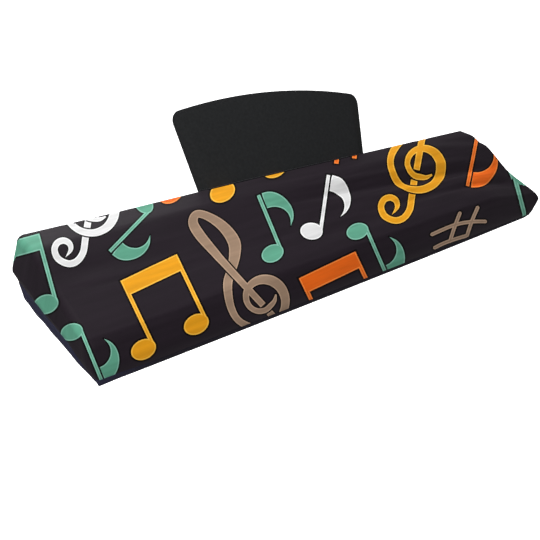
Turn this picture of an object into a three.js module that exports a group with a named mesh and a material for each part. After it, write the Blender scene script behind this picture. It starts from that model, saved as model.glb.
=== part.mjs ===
// Stretch cloth cover for a keyboard instrument, as it sits when it is pulled on.
// Printed panel with a drawn-in hem band, and a pocket that stands up for the music rest.
// X runs along the length, Y from the front skirt to the back and Z up, in millimetres.
// The sizes below are measured from the middle of the front skirt's hem.

import * as THREE from 'three';

// Driving sizes of the panel
const LENGTH = 1330;
const DEPTH = 280;
const CLOTH = 2;
const DECK_HEIGHT = 172;
const DECK_WIDTH = 58;
const FRONT_HEIGHT = 106;
const ROLL = { front: 20, back: 11, end: 16 };
const FRONT_INSET = 14;

// The top rises from its left end towards the middle, where it is level, and less to the right
const ARCH = { left: 0, middle: 6, right: 7 };
const LEVEL_HALF = 60;

// The slope starts softly, over this share of its run, and sags between its two edges
const SLOPE_START = 0.12;
const SAG = { left: 3, right: 8 };

// Skirts: they swell below the rolled edge, then the hem band draws them in.
// The end skirts go from their front to their back sizes over this share of the depth.
// Round the front corners the hem is drawn in further, from higher up, over a short run.
const BULGE = { front: 5, back: 5 };
const END_BULGE = { left: { front: 0, back: 10 }, right: { front: 14, back: 10 } };
const BULGE_HIGH = 0.75;
const TUCK = { front: 14, endFront: 20, back: 3 };
const TUCK_START = { wall: 0.5, corner: 0.2 };
const CORNER_RUN = 70;
const BACK_SHARE = 0.8;

// Hem band: its lower edge lifts at the left front corner, rises along the ends, and sags a little in front
const HEM_RISE = 36;
const HEM_LIFT = 9;
const LIFT_RUN = 45;
const HEM_SAG = 3;
const BAND_HEIGHT = { front: 15, back: 42 };
const BAND_PROUD = 0.8;
const SEAM_GAP = 0.3;

// The front corner of the right end is pulled outwards and down
const RIGHT_PULL = 26;
const PULL_RUN = { length: 150, depth: 110 };
const RIGHT_DROP = 24;
const DROP_RUN = { length: 200, depth: 170 };

// Long soft folds of the top, each from one point to the other, with its depth at both.
// Along its length a fold comes up and dies away over these shares.
const FOLD_IN = [-0.1, 0.25];
const FOLD_OUT = [0.82, 1.04];
const FOLDS = [
  { from: [-130, 173], to: [610, 112], half: 34, start: 1, end: 7 },
  { from: [-150, 60], to: [230, 64], half: 26, start: 3, end: 2 },
  { from: [330, 66], to: [625, 60], half: 30, start: 1, end: 8 },
  { from: [-640, 150], to: [-380, 128], half: 30, start: 3, end: 1 },
];

// Music rest pocket: it leans back, is wider at its arched top, and its right corner is lower.
// Its sheets close together past closeFrom of its half width, and up to the top seam.
const POCKET = {
  centre: -15,
  bottomHalf: 257,
  topHalf: 282,
  leftHeight: 171,
  midHeight: 186,
  rightHeight: 149,
  corner: 24,
  lean: THREE.MathUtils.degToRad(29),
  seam: 5,
  mouthHalf: 234,
  closeFrom: 0.88,
  closePower: 3,
};

// Mesh steps
const X_STEPS = [11, 5, 3, 5, 11];
const SLOPE_STEPS = 8;
const DECK_STEPS = 2;
const CORNER_STEPS = 4;
const ROLL_ROWS = 4;
const WALL_ROWS = 5;
const BAND_ROWS = 2;
const POCKET_ROWS = 8;
const POCKET_COLUMNS = [0, 0.17, 0.34, 0.51, 0.68, 0.82, 0.91, 0.955, 0.985, 1];

// The holding mount lies under the level strip at the back of the top
const MOUNT_Y = 238;

const COLOURS = { panel: 0x2d262d, band: 0x2a2a3a, pocket: 0x292929 };

const HALF_X = LENGTH / 2 - ROLL.end;
const BACK_Y = DEPTH - ROLL.back;
const DECK_Y = DEPTH - DECK_WIDTH;
const { lerp, smoothstep, clamp } = THREE.MathUtils;

// Depth of one long fold at a point of the top; it dies away at its sides and its ends
function foldDepth(fold, x, y) {
  const run = [fold.to[0] - fold.from[0], fold.to[1] - fold.from[1]];
  const length = Math.hypot(run[0], run[1]);
  const off = [x - fold.from[0], y - fold.from[1]];
  const along = (off[0] * run[0] + off[1] * run[1]) / (length * length);
  const across = Math.abs(off[0] * run[1] - off[1] * run[0]) / length;
  if (across >= fold.half) return 0;
  const side = Math.cos((across / fold.half) * (Math.PI / 2)) ** 2;
  const ends = smoothstep(along, ...FOLD_IN) * (1 - smoothstep(along, ...FOLD_OUT));
  return lerp(fold.start, fold.end, clamp(along, 0, 1)) * side * ends;
}

// How near a point is to the right end's front corner, 0 to 1
function cornerShare(x, y, run) {
  return smoothstep(x, HALF_X - run.length, HALF_X) * (1 - smoothstep(y, 0, run.depth));
}

// Height of the top: a level strip at the back, then a sagging slope down to the front
function topHeight(x, y) {
  const t = clamp((DECK_Y - y) / (DECK_Y - FRONT_INSET), 0, 1);
  const soft = t < SLOPE_START ? (t * t) / (2 * SLOPE_START) : t - SLOPE_START / 2;
  const ramp = soft / (1 - SLOPE_START / 2);
  const sag = lerp(SAG.left, SAG.right, smoothstep(x, -HALF_X, HALF_X)) * Math.sin(Math.PI * t) ** 2;
  const end = x < 0 ? ARCH.left : ARCH.right;
  const arch = lerp(ARCH.middle, end, smoothstep(Math.abs(x), LEVEL_HALF, HALF_X));
  const folds = FOLDS.reduce((sum, fold) => sum + foldDepth(fold, x, y), 0);
  const drop = RIGHT_DROP * cornerShare(x, y, DROP_RUN);
  return lerp(DECK_HEIGHT, FRONT_HEIGHT, ramp) + arch - sag - folds - drop;
}

// Slope of the top along a level direction, as an angle below the horizontal
function slopeAngle(x, y, direction) {
  const inner = topHeight(x - direction.x, y - direction.y);
  return Math.atan(inner - topHeight(x, y));
}

// A value that belongs to the front, end or back skirt, blended round the corners
function bySide(values, direction) {
  const face = direction.y < 0 ? values.front : values.back;
  return values.end * direction.x ** 2 + face * direction.y ** 2;
}

// Share of the way from the front to the back
const backness = (y) => smoothstep(y, 0, BACK_SHARE * DEPTH);

// Share of the run from a front corner along an end skirt
function pastCorner(y) {
  const share = clamp((y - FRONT_INSET) / CORNER_RUN, 0, 1);
  return share * (2 - share);
}

function hemHeight(station) {
  const middle = 1 - (station.x / (LENGTH / 2)) ** 2;
  const front = Math.max(0, -station.direction.y);
  const lift = HEM_LIFT * smoothstep(-station.x, HALF_X - LIFT_RUN, HALF_X);
  return lerp(lift, HEM_RISE, pastCorner(station.y)) - HEM_SAG * middle * front;
}

// Everything that one line down the skirt needs: where the roll starts, and its heights
function skirtLine(x, y, direction) {
  const radius = bySide(ROLL, direction);
  const angle = slopeAngle(x, y, direction);
  const station = { x, y, direction, radius, angle, top: topHeight(x, y) };
  station.wallTop = station.top - radius * Math.cos(angle);
  station.hem = hemHeight(station);
  station.bandTop = station.hem + lerp(BAND_HEIGHT.front, BAND_HEIGHT.back, backness(y));
  return station;
}

// A point of the cover, with the pull at the right end's front corner
function place(x, y, z) {
  return new THREE.Vector3(x + RIGHT_PULL * cornerShare(x, y, PULL_RUN), y, z);
}

// Point at a level distance out from the edge of the top, at a given height
function outward(station, reach, z) {
  const { x, y, direction } = station;
  return place(x + direction.x * reach, y + direction.y * reach, z);
}

// Rounded edge of the top: share 0 at the top, 1 where the wall starts
function rollPoint(station, share, layer) {
  const { radius, angle, top } = station;
  const turn = lerp(angle, Math.PI / 2, share);
  const reach = (radius - layer) * Math.sin(turn) - radius * Math.sin(angle);
  return outward(station, reach, top - radius * Math.cos(angle) + (radius - layer) * Math.cos(turn));
}

// Skirt wall at a height: it swells a little, then the hem band draws it in
function wallPoint(station, z, layer) {
  const { radius, angle, direction, x, y, wallTop, hem } = station;
  const down = clamp((wallTop - z) / (wallTop - hem), 0, 1);
  const endBulge = x < 0 ? END_BULGE.left : END_BULGE.right;
  const bulge = bySide({ ...BULGE, end: lerp(endBulge.front, endBulge.back, backness(y)) }, direction);
  const past = pastCorner(y);
  const tuck = bySide({ ...TUCK, end: lerp(TUCK.endFront, TUCK.back, past) }, direction);
  const start = lerp(TUCK_START.wall, lerp(TUCK_START.corner, TUCK_START.wall, past), direction.x ** 2);
  const swell = bulge * Math.sin(Math.PI * down ** BULGE_HIGH) ** 2;
  const drawn = tuck * Math.max(0, (down - start) / (1 - start)) ** 2;
  return outward(station, radius * (1 - Math.sin(angle)) + swell - drawn - layer, z);
}

// Even steps between the points of a list
function steps(points, counts) {
  const values = [points[0]];
  counts.forEach((count, part) => {
    for (let i = 1; i <= count; i += 1) values.push(lerp(points[part], points[part + 1], i / count));
  });
  return values;
}

const GRID_X = steps(
  [
    -HALF_X,
    POCKET.centre - POCKET.mouthHalf,
    -LEVEL_HALF,
    LEVEL_HALF,
    POCKET.centre + POCKET.mouthHalf,
    HALF_X,
  ],
  X_STEPS,
);
const GRID_Y = steps([FRONT_INSET, DECK_Y, BACK_Y], [SLOPE_STEPS, DECK_STEPS]);

// Lines down the skirt, all the way round from the front left corner, seen from above
function skirtLines() {
  const last = { x: GRID_X.length - 1, y: GRID_Y.length - 1 };
  const sides = [
    { turn: -Math.PI / 2, cells: GRID_X.map((_, i) => [i, 0]) },
    { turn: 0, cells: GRID_Y.map((_, j) => [last.x, j]) },
    { turn: Math.PI / 2, cells: GRID_X.map((_, i) => [last.x - i, last.y]) },
    { turn: Math.PI, cells: GRID_Y.map((_, j) => [0, last.y - j]) },
  ];
  const lines = [];
  for (const { turn, cells } of sides) {
    const add = ([i, j], angle) => {
      const direction = new THREE.Vector2(Math.cos(angle), Math.sin(angle));
      lines.push({ cell: [i, j], ...skirtLine(GRID_X[i], GRID_Y[j], direction) });
    };
    cells.forEach((cell) => add(cell, turn));
    for (let k = 1; k < CORNER_STEPS; k += 1) {
      add(cells[cells.length - 1], turn + (k / CORNER_STEPS) * (Math.PI / 2));
    }
  }
  return lines;
}

// Closed solid between an outer and an inner layer of points that share one list of faces.
// Each open edge of the list is closed by a strip from one layer to the other.
function clothSolid(outer, inner, faces) {
  const count = outer.length;
  const index = [];
  const edges = new Set();
  const fan = (face) => {
    for (let i = 1; i + 1 < face.length; i += 1) index.push(face[0], face[i], face[i + 1]);
  };
  for (const face of faces) {
    fan(face);
    for (let i = 1; i + 1 < face.length; i += 1) {
      index.push(face[0] + count, face[i + 1] + count, face[i] + count);
    }
    face.forEach((a, i) => edges.add(`${a} ${face[(i + 1) % face.length]}`));
  }
  for (const edge of edges) {
    const [a, b] = edge.split(' ').map(Number);
    if (!edges.has(`${b} ${a}`)) fan([b, a, a + count, b + count]);
  }
  const geometry = new THREE.BufferGeometry().setFromPoints([...outer, ...inner]);
  geometry.setIndex(index);
  geometry.computeVertexNormals();
  return geometry;
}

function clothMesh(name, geometry, color) {
  const material = new THREE.MeshStandardMaterial({ color, roughness: 0.85, metalness: 0 });
  const mesh = new THREE.Mesh(geometry, material);
  mesh.name = name;
  return mesh;
}

// Faces between rows of points that run down each skirt line
function skirtFaces(lines, rows, indexOf, skip) {
  const faces = [];
  lines.forEach((line, s) => {
    const next = (s + 1) % lines.length;
    for (let k = 0; k < rows; k += 1) {
      if (skip(line, lines[next], k)) continue;
      const face = [indexOf(s, k), indexOf(s, k + 1), indexOf(next, k + 1), indexOf(next, k)];
      faces.push(face.filter((v, i) => face.indexOf(v) === i));
    }
  });
  return faces;
}

// True between two lines at the back edge where the pocket's mouth is open
function inMouth(a, b) {
  const middle = Math.abs((a.x + b.x) / 2 - POCKET.centre);
  return a.direction.y + b.direction.y > 1.9 && middle < POCKET.mouthHalf;
}

// Printed panel: top and skirts in one cloth, open below, with the pocket's mouth at the back
function coverPanel(lines) {
  const rows = ROLL_ROWS + WALL_ROWS;
  const columns = GRID_X.length;
  const layerPoints = (layer) => {
    const points = [];
    for (const y of GRID_Y) {
      for (const x of GRID_X) points.push(place(x, y, topHeight(x, y) - layer));
    }
    for (const line of lines) {
      for (let k = 1; k <= ROLL_ROWS; k += 1) points.push(rollPoint(line, k / ROLL_ROWS, layer));
      for (let k = 1; k <= WALL_ROWS; k += 1) {
        points.push(wallPoint(line, lerp(line.wallTop, line.bandTop, k / WALL_ROWS), layer));
      }
    }
    return points;
  };
  const faces = [];
  for (let j = 0; j + 1 < GRID_Y.length; j += 1) {
    for (let i = 0; i + 1 < columns; i += 1) {
      const a = j * columns + i;
      faces.push([a, a + 1, a + 1 + columns, a + columns]);
    }
  }
  const first = columns * GRID_Y.length;
  const indexOf = (s, k) => {
    const [i, j] = lines[s].cell;
    return k === 0 ? j * columns + i : first + s * rows + k - 1;
  };
  const skip = (a, b, k) => k < ROLL_ROWS && inMouth(a, b);
  faces.push(...skirtFaces(lines, rows, indexOf, skip));
  return clothSolid(layerPoints(0), layerPoints(CLOTH), faces);
}

// Hem band: a ring that carries on from the panel's lower edge and holds the elastic
function hemBand(lines) {
  const layerPoints = (layer) =>
    lines.flatMap((line) => {
      const top = line.bandTop - SEAM_GAP;
      const rows = Array.from({ length: BAND_ROWS + 1 }, (_, k) => lerp(top, line.hem, k / BAND_ROWS));
      return rows.map((z) => wallPoint(line, z, layer));
    });
  const indexOf = (s, k) => s * (BAND_ROWS + 1) + k;
  const faces = skirtFaces(lines, BAND_ROWS, indexOf, () => false);
  return clothSolid(layerPoints(-BAND_PROUD), layerPoints(CLOTH + BAND_PROUD), faces);
}

// Height of the pocket's top seam along its lean, with an arch and round corners
function pocketHeight(a, inset) {
  const { leftHeight, midHeight, rightHeight } = POCKET;
  const tilt = (rightHeight - leftHeight) / 2;
  const arch = midHeight + tilt * a + ((leftHeight + rightHeight) / 2 - midHeight) * a ** 2;
  const past = Math.max(0, Math.abs(a) * POCKET.topHalf - (POCKET.topHalf - POCKET.corner));
  const round = POCKET.corner - Math.sqrt(POCKET.corner ** 2 - past ** 2);
  return arch - round - inset;
}

// One point of the pocket: side -1 is its front sheet, +1 its back sheet
function pocketPoint(a, b, side, layer) {
  const inset = layer > 0 ? POCKET.seam : 0;
  const height = pocketHeight(a, inset);
  const spread = (POCKET.topHalf - POCKET.bottomHalf) * ((b * height) / POCKET.midHeight);
  const x = POCKET.centre + a * (POCKET.bottomHalf + spread - inset);
  // The foot of each sheet sits on the back edge's roll, apart across the mouth
  const radius = ROLL.back + SEAM_GAP;
  const full = 1 - smoothstep(Math.abs(a), POCKET.closeFrom, 1);
  const turn = Math.PI / 4 + side * full * (Math.PI / 4 - layer / radius);
  const edge = topHeight(clamp(x, -HALF_X, HALF_X), BACK_Y) - ROLL.back;
  const foot = (angle) => [BACK_Y + radius * Math.sin(angle), edge + radius * Math.cos(angle)];
  const own = foot(turn);
  const middle = foot(Math.PI / 4);
  const top = [
    middle[0] + height * Math.sin(POCKET.lean),
    middle[1] + height * Math.cos(POCKET.lean),
  ];
  const apart = Math.sqrt(1 - b ** POCKET.closePower);
  return new THREE.Vector3(
    x,
    lerp(middle[0], top[0], b) + (own[0] - middle[0]) * apart,
    lerp(middle[1], top[1], b) + (own[1] - middle[1]) * apart,
  );
}

// Music rest pocket: two sheets joined along the sides and the top, open at the foot
function restPocket() {
  const half = POCKET_COLUMNS;
  const columns = [...half.slice(1).reverse().map((a) => -a), ...half];
  const last = columns.length - 1;
  const slots = new Map();
  const places = [];
  const indexOf = (i, k, side) => {
    const shared = i === 0 || i === last || k === POCKET_ROWS;
    const key = `${i} ${k} ${shared ? 0 : side}`;
    if (!slots.has(key)) {
      slots.set(key, places.length);
      places.push([columns[i], k / POCKET_ROWS, shared ? 0 : side]);
    }
    return slots.get(key);
  };
  const faces = [];
  for (let i = 0; i < last; i += 1) {
    for (let k = 0; k < POCKET_ROWS; k += 1) {
      const ring = (side) =>
        [[i, k], [i + 1, k], [i + 1, k + 1], [i, k + 1]].map(([c, r]) => indexOf(c, r, side));
      faces.push(ring(-1), ring(1).reverse());
    }
  }
  const layerPoints = (layer) => places.map(([a, b, side]) => pocketPoint(a, b, side, layer));
  return clothSolid(layerPoints(0), layerPoints(CLOTH), faces);
}

const lines = skirtLines();
const cover = new THREE.Group();
cover.add(clothMesh('cover_panel', coverPanel(lines), COLOURS.panel));
cover.add(clothMesh('hem_band', hemBand(lines), COLOURS.band));
cover.add(clothMesh('music_rest_pocket', restPocket(), COLOURS.pocket));
cover.position.set(0, -MOUNT_Y, CLOTH - topHeight(0, MOUNT_Y));

const part = new THREE.Group();
part.add(cover);
export default part;
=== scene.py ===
"""Printed stretch cover: its cloth, print, hem band, pocket and stitching.

Sizes are millimetres, measured as in the part's source: x along the length from its middle, y from the
front face to the back, z up from the front hem. Finished pieces are in metres from the mount.
"""

import math
from collections import namedtuple

import bpy
import numpy as np
from mathutils import Matrix, Vector
from mathutils.geometry import delaunay_2d_cdt
from numpy.linalg import norm


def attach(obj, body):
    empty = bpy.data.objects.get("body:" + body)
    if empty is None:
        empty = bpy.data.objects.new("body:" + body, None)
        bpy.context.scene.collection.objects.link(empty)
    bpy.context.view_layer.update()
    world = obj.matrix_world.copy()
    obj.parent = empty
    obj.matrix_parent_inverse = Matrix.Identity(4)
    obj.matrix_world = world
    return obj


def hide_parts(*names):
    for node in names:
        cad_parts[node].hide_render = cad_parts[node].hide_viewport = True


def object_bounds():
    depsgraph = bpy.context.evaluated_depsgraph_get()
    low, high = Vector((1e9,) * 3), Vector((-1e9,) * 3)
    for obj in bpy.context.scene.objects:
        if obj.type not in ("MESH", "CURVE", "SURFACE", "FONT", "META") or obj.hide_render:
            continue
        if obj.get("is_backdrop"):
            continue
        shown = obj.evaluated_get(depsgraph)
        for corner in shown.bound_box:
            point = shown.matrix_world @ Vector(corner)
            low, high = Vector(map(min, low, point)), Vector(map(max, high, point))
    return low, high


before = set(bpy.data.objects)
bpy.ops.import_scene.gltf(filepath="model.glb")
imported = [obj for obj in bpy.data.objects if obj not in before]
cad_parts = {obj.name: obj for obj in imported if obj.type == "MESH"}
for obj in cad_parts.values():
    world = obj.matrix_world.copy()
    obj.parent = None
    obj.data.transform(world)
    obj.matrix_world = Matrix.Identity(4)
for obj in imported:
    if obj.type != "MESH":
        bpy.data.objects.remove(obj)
cad_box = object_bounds()

# Sizes of the cover, in millimetres
MM = 0.001
MOUNT = np.array([0.0, 238.0, 176.0])
LENGTH = 1330
DEPTH = 280
DECK_HEIGHT = 172
DECK_WIDTH = 58
FRONT_HEIGHT = 106
FRONT_ROLL = 20
BACK_ROLL = 11
END_ROLL = 16
FRONT_INSET = 14
HALF_X = LENGTH / 2 - END_ROLL
BACK_Y = DEPTH - BACK_ROLL
DECK_Y = DEPTH - DECK_WIDTH
# Share of the depth over which an end's measures go over to those at its back
BACK_SHARE = 0.8
# How the top arches along its length past its level strip, and sags across its slope
ARCH_LEFT, ARCH_MIDDLE, ARCH_RIGHT = 0, 6, 7
LEVEL_HALF = 60
SLOPE_START = 0.12
SAG_LEFT, SAG_RIGHT = 3, 8
# How far the skirts swell; the ends' at the front and at the back
SKIRT_BULGE = 5
LEFT_BULGE = (0, 14)
RIGHT_BULGE = (15, 10)
BULGE_HIGH = 0.75
# The left end's blunt edge: share of the way down, rounding, and how hollow it falls in below
LEFT_PEAK, PEAK_ROUND, PEAK_HOLLOW = 0.44, 0.15, 2.4
# How far the hem is drawn in, from what share of the way down, and more at the left front corner
TUCK_FRONT, TUCK_END_FRONT, TUCK_BACK = 14, 20, 3
TUCK_START, CORNER_TUCK_START = 0.5, 0.2
CORNER_RUN = 70
CORNER_DRAW, DRAW_RUN = 9, 60
# How the hem rises along the ends, hangs at the left front corner and sags in front
HEM_RISE = 36
HEM_LIFT, LIFT_RUN = -1, 45
HEM_SAG = 3
# Where the left end's hem hangs lower: place along it, half width and depth
DROOPS = [(215, 27, 4.0), (150, 30, 1.5)]
# The hem band's height in front and behind, and how much taller it is at the left front corner
BAND_HEIGHT = (19, 42)
CORNER_BAND, CORNER_BAND_RUN = 7, 110
# How the right front corner stands out and falls in: share of the way down, half width and reach
CORNER_FOLD = [(0.02, 0.16, 9.0), (0.62, 0.26, -9.0)]
# How far the right front corner is pulled out and down, and over what length and depth
RIGHT_PULL, PULL_RUN = 28, (150, 110)
RIGHT_DROP, DROP_RUN = 30, (200, 170)
SEAM_GAP = 0.3
CLOTH = 0.9

# Troughs across the top: start, end, half width, depth at the start and at the end
FOLDS = [
    ((-130, 173), (610, 112), 32, 2, 9),
    ((-150, 60), (230, 64), 26, 3, 2),
    ((330, 66), (625, 60), 30, 1, 8),
    ((-640, 150), (-380, 128), 30, 3, 1),
]
# Narrower creases that only the cloth shows; a negative depth is a ridge
CREASES = [
    ((-190, 172), (640, 118), 14, 2.0, 3.2),
    ((-150, 200), (560, 152), 14, -1.4, -2.2),
    ((60, 128), (640, 92), 11, -0.8, -1.6),
    ((40, 88), (640, 66), 15, 2.4, 3.4),
    ((-520, 84), (-120, 92), 14, 0.8, 0.9),
    ((-640, 112), (-420, 98), 12, 1.0, 0.5),
    ((470, 226), (700, 200), 30, 0.0, 9.0),
]
# Shares of a trough's length over which it comes in and dies out
FOLD_IN = (-0.1, 0.25)
FOLD_OUT = (0.82, 1.04)

# The pocket that stands on the back edge, its heights from left to right, and half its slot's width
POCKET_CENTRE = -15
POCKET_BOTTOM_HALF = 257
POCKET_TOP_HALF = 282
POCKET_HEIGHTS = (171, 186, 149)
POCKET_CORNER = 24
POCKET_LEAN = math.radians(29)
POCKET_SEAM = 5
POCKET_CLOSE_FROM = 0.88
POCKET_CLOSE_POWER = 3
MOUTH_HALF = 234

# The camera, fitted to the picture's corners; pixels of a 540 by 540 image
IMAGE = 540
FOCAL_PX = 655.2
EYE = np.array([-1012.9, -779.8, 755.0])
YAW, PITCH, ROLL = (math.radians(a) for a in (42.65, 30.52, 6.30))

TINY = 1e-9


def lerp(a, b, t):
    return a + (b - a) * t


def smoothstep(v, a, b):
    t = np.clip((v - a) / (b - a), 0, 1)
    return t * t * (3 - 2 * t)


def bell(v, at, half):
    """1 at one place, and dying out on both sides of it."""
    return np.exp(-(((v - at) / half) ** 2))


# The cover's surface

NORMAL_STEP = 0.4
ANGLE_DIGITS = 9
Skirt = namedtuple("Skirt", "back radius top angle roll wall_top hem band_top")


def fold_depth(fold, x, y):
    (x0, y0), (x1, y1), half, start, end = fold
    run_x, run_y = x1 - x0, y1 - y0
    length = math.hypot(run_x, run_y)
    along = ((x - x0) * run_x + (y - y0) * run_y) / length**2
    across = np.abs((x - x0) * run_y - (y - y0) * run_x) / length
    side = np.cos(np.clip(across / half, 0, 1) * math.pi / 2) ** 2
    ends = smoothstep(along, *FOLD_IN) * (1 - smoothstep(along, *FOLD_OUT))
    return lerp(start, end, np.clip(along, 0, 1)) * side * ends


def corner_share(x, y, run):
    """How near a point is to the right front corner, 0 to 1."""
    return smoothstep(x, HALF_X - run[0], HALF_X) * (1 - smoothstep(y, 0, run[1]))


def past_corner(y):
    """Share of the run from a front corner along an end skirt."""
    share = np.clip((y - FRONT_INSET) / CORNER_RUN, 0, 1)
    return share * (2 - share)


def top_height(x, y, folded=1.0):
    t = np.clip((DECK_Y - y) / (DECK_Y - FRONT_INSET), 0, 1)
    soft = np.where(t < SLOPE_START, t * t / (2 * SLOPE_START), t - SLOPE_START / 2)
    ramp = soft / (1 - SLOPE_START / 2)
    sag = lerp(SAG_LEFT, SAG_RIGHT, smoothstep(x, -HALF_X, HALF_X)) * np.sin(math.pi * t) ** 2
    end = np.where(x < 0, ARCH_LEFT, ARCH_RIGHT)
    arch = lerp(ARCH_MIDDLE, end, smoothstep(np.abs(x), LEVEL_HALF, HALF_X))
    folds = folded * sum(fold_depth(fold, x, y) for fold in FOLDS + CREASES)
    drop = RIGHT_DROP * corner_share(x, y, DROP_RUN)
    return lerp(DECK_HEIGHT, FRONT_HEIGHT, ramp) + arch - sag - folds - drop


def by_side(front, back, end, dx, dy):
    return end * dx**2 + np.where(dy < 0, front, back) * dy**2


def skirt(cx, cy, dx, dy, folded=1.0):
    """The skirt's measures where the top's rim (cx, cy) turns down towards (dx, dy)."""
    back = smoothstep(cy, 0, BACK_SHARE * DEPTH)
    radius = np.maximum(by_side(FRONT_ROLL, BACK_ROLL, END_ROLL, dx, dy), TINY)
    top = top_height(cx, cy, folded)
    angle = np.arctan(top_height(cx - dx, cy - dy, folded) - top)
    roll = radius * (math.pi / 2 - angle)
    wall_top = top - radius * np.cos(angle)
    middle = 1 - (cx / (LENGTH / 2)) ** 2
    lift = HEM_LIFT * smoothstep(-cx, HALF_X - LIFT_RUN, HALF_X)
    hem = lerp(lift, HEM_RISE, past_corner(cy)) - HEM_SAG * middle * np.maximum(0, -dy)
    droop = sum(deep * bell(cy, at, half) for at, half, deep in DROOPS)
    hem = hem - np.maximum(0, -dx) * droop
    corner = smoothstep(-cx, HALF_X - CORNER_BAND_RUN, HALF_X) * (1 - back)
    band_top = hem + lerp(*BAND_HEIGHT, back) + CORNER_BAND * corner
    return Skirt(back, radius, top, angle, roll, wall_top, hem, band_top)


def panel_point(u, v, folded=1.0):
    """Where a point of the flat pattern lies: the top in plan, with the skirts turned out round it."""
    cx = np.clip(u, -HALF_X, HALF_X)
    cy = np.clip(v, FRONT_INSET, BACK_Y)
    d = np.hypot(u - cx, v - cy)
    away = np.where(d > TINY, d, 1)
    dx, dy = (u - cx) / away, (v - cy) / away
    back, radius, top, angle, roll, wall_top, hem, _ = skirt(cx, cy, dx, dy, folded)
    turn = lerp(angle, math.pi / 2, np.clip(d / roll, 0, 1))
    z_wall = wall_top - (d - roll)
    down = np.clip((wall_top - z_wall) / (wall_top - hem), 0, 1)
    end_bulge = np.where(cx < 0, lerp(*LEFT_BULGE, back), lerp(*RIGHT_BULGE, back))
    bulge = by_side(SKIRT_BULGE, SKIRT_BULGE, end_bulge, dx, dy)
    past = past_corner(cy)
    tuck = by_side(TUCK_FRONT, TUCK_BACK, lerp(TUCK_END_FRONT, TUCK_BACK, past), dx, dy)
    start = lerp(TUCK_START, lerp(CORNER_TUCK_START, TUCK_START, past), dx**2)
    # The left end comes out to a blunt edge and falls in hollow below it; the other sides swell evenly
    out, fall = down / LEFT_PEAK, (np.maximum(0, 1 - down) / (1 - LEFT_PEAK)) ** PEAK_HOLLOW
    blunt = np.maximum(0, PEAK_ROUND - np.abs(out - fall)) ** 2 / PEAK_ROUND / 4
    at_left = np.where(cx < 0, dx**2, 0)
    even = np.sin(math.pi * down**BULGE_HIGH) ** 2
    swell = bulge * lerp(even, np.minimum(out, fall) - blunt, at_left)
    at_fold = np.where((cx > 0) & (dy < 0), (2 * dx * dy) ** 2, 0)
    fold = at_fold * sum(far * bell(down, at, half) for at, half, far in CORNER_FOLD)
    drawn = tuck * np.maximum(0, (down - start) / (1 - start)) ** 2
    on_wall = radius * (1 - np.sin(angle)) + swell - drawn + fold
    on_roll = radius * (np.sin(turn) - np.sin(angle)) + fold * np.clip(d / roll, 0, 1) ** 2
    reach = np.where(d < roll, on_roll, on_wall)
    z = np.where(d < roll, wall_top + radius * np.cos(turn), z_wall)
    on_top = d <= TINY
    z = np.where(on_top, top, z)
    reach = np.where(on_top, 0, reach)
    x, y = cx + dx * reach, cy + dy * reach
    near_corner = smoothstep(-x, HALF_X - DRAW_RUN, HALF_X) * (1 - smoothstep(y, 0, DRAW_RUN))
    x = x + CORNER_DRAW * near_corner * down**2
    return np.stack([x + RIGHT_PULL * corner_share(x, y, PULL_RUN), y, z], -1)


def panel_normal(u, v):
    across = panel_point(u + NORMAL_STEP, v) - panel_point(u - NORMAL_STEP, v)
    up = panel_point(u, v + NORMAL_STEP) - panel_point(u, v - NORMAL_STEP)
    normal = np.cross(across, up)
    return normal / norm(normal, axis=-1, keepdims=True)


def net_lines(step):
    """The net's lines across the top: along its length, and from front to back."""
    columns = np.linspace(-HALF_X, HALF_X, round(2 * HALF_X / step) + 1)
    return columns, np.linspace(FRONT_INSET, BACK_Y, round((BACK_Y - FRONT_INSET) / step) + 1)


def rim_stations(step, fan):
    """Points round the top's rim, with the ways in which the skirt turns down from them."""
    columns, rows = net_lines(step)
    sides = [(columns, FRONT_INSET, -90), (HALF_X, rows, 0), (columns[::-1], BACK_Y, 90),
             (-HALF_X, rows[::-1], 180)]
    rim, angle = [], []
    for x, y, side_angle in sides:
        side = np.stack(np.broadcast_arrays(x, y), 1)
        rim.append(np.pad(side, ((0, fan - 1), (0, 0)), "edge"))
        angle += [np.full(len(side), side_angle), side_angle + 90 * np.arange(1, fan) / fan]
    angle = np.radians(np.concatenate(angle))
    return np.vstack(rim), np.stack([np.cos(angle), np.sin(angle)], 1).round(ANGLE_DIGITS)


# Music signs of the print, in staff spaces, as strokes (rows of x, y and half width) and note heads

SPAN_ROWS = 7


def smooth(points):
    """A smooth line of cubics through points, in every column."""
    points = np.array(points, float)
    padded = np.vstack([2 * points[0] - points[1], points, 2 * points[-1] - points[-2]])
    t = np.arange(SPAN_ROWS)[:, None] / SPAN_ROWS
    spans = []
    for a, b, c, d in zip(padded, padded[1:], padded[2:], padded[3:]):
        cubic = (3 * b - a - 3 * c + d) * t**3 + (2 * a - 5 * b + 4 * c - d) * t**2
        spans.append(b + 0.5 * (cubic + (c - a) * t))
    return np.vstack(spans + [points[-1:]])


def stroke(points):
    """Rows of x, y and half width along a stroke."""
    return {"line": smooth(points) if len(points) > 2 else np.array(points, float)}


# Half width up to which a stroke's outline grows less, by what share, and the least half width
THIN_HALF, THIN_GROWS, LEAST_HALF = 0.03, 0.5, 0.004


def stroke_loop(shape, grow):
    """A stroke's outline, also across both its ends unless it says which of them are capped."""
    line = shape["line"]
    run = np.gradient(line[:, :2], axis=0)
    run /= norm(run, axis=1, keepdims=True)
    side = np.stack([-run[:, 1], run[:, 0]], 1)
    grown = np.where(line[:, 2:] > THIN_HALF, grow, THIN_GROWS * grow)
    half = np.maximum(line[:, 2:] + grown, LEAST_HALF)
    middle = line[:, :2].copy()
    starts, stops = shape.get("capped", (True, True))
    middle[0] -= starts * run[0] * grow
    middle[-1] += stops * run[-1] * grow
    return np.vstack([middle + side * half, (middle - side * half)[::-1]])


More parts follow.
